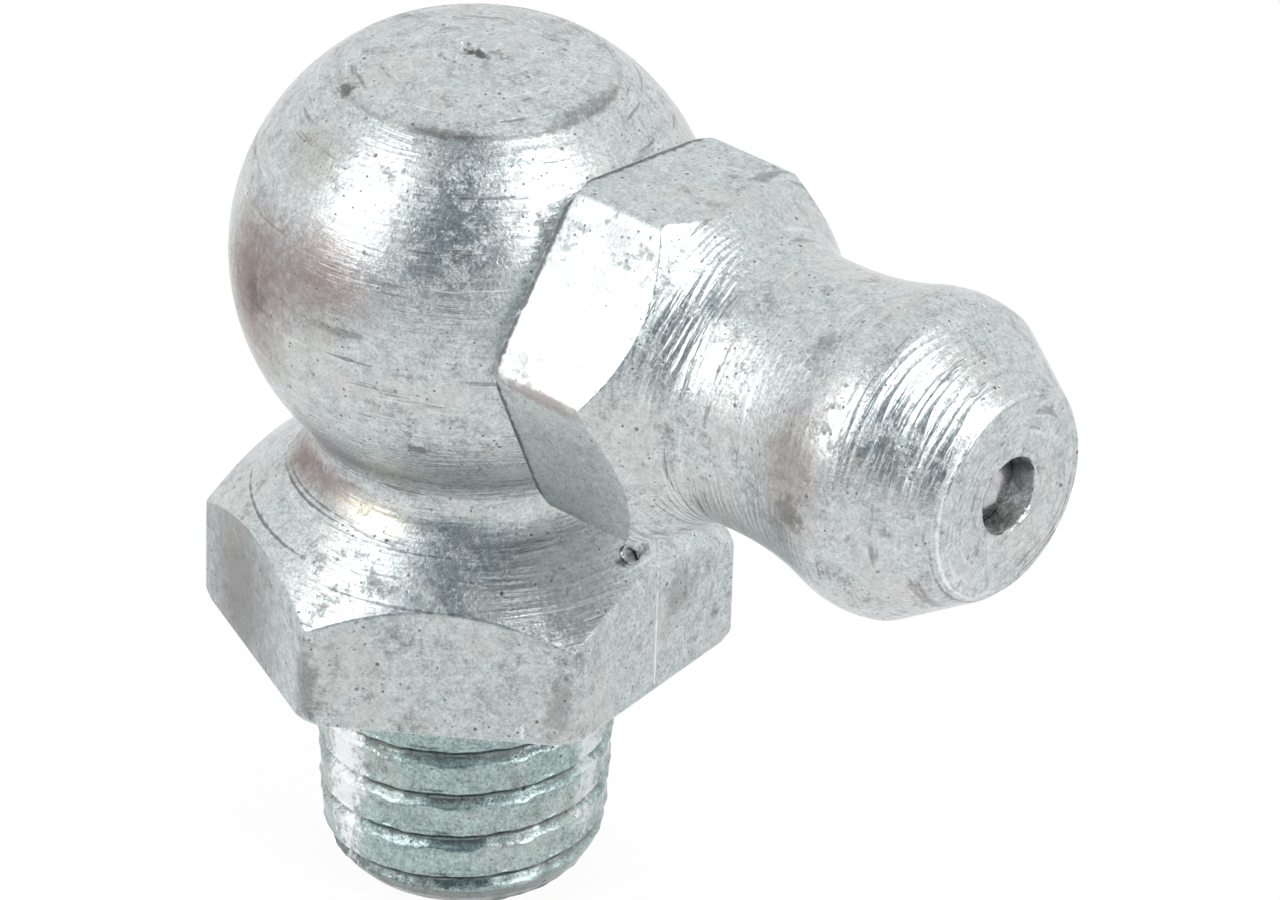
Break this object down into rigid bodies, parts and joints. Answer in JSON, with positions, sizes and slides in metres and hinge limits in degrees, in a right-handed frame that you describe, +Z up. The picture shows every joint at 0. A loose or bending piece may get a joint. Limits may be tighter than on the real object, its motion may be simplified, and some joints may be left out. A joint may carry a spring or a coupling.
{
  "type": "angled grease nipple",
  "caption": "Right-angled grease nipple with a threaded shank, hexagon, ball elbow and a pressed-in nozzle with a sprung check ball.",
  "frame": {"origin": "on the axis of the thread, in the plane of the hexagon's underside, which seats on the machine", "axes": "+Z up along the thread's axis towards the ball, +X along the nozzle's axis towards its inlet hole"},
  "size_m": [0.0179, 0.0104, 0.0178],
  "materials": {
    "zinc_plated_body": "bright zinc plate over turned steel",
    "zinc_plated_head": "bright zinc plate over turned steel",
    "ball_steel": "polished",
    "spring_steel": "drawn wire"
  },
  "bodies": {
    "nipple": {"elbow_body": "zinc_plated_body", "nozzle_head": "zinc_plated_head", "spring": "spring_steel"},
    "valve": {"check_ball": "ball_steel"}
  },
  "joints": [
    {"name": "ball_lift", "type": "slide", "parent": "nipple", "child": "valve", "axis": [-1, 0, 0], "range_m": [0, 0.001], "stiffness_N_per_m": 100, "springref_m": -0.0025, "deforming": ["spring"]}
  ]
}
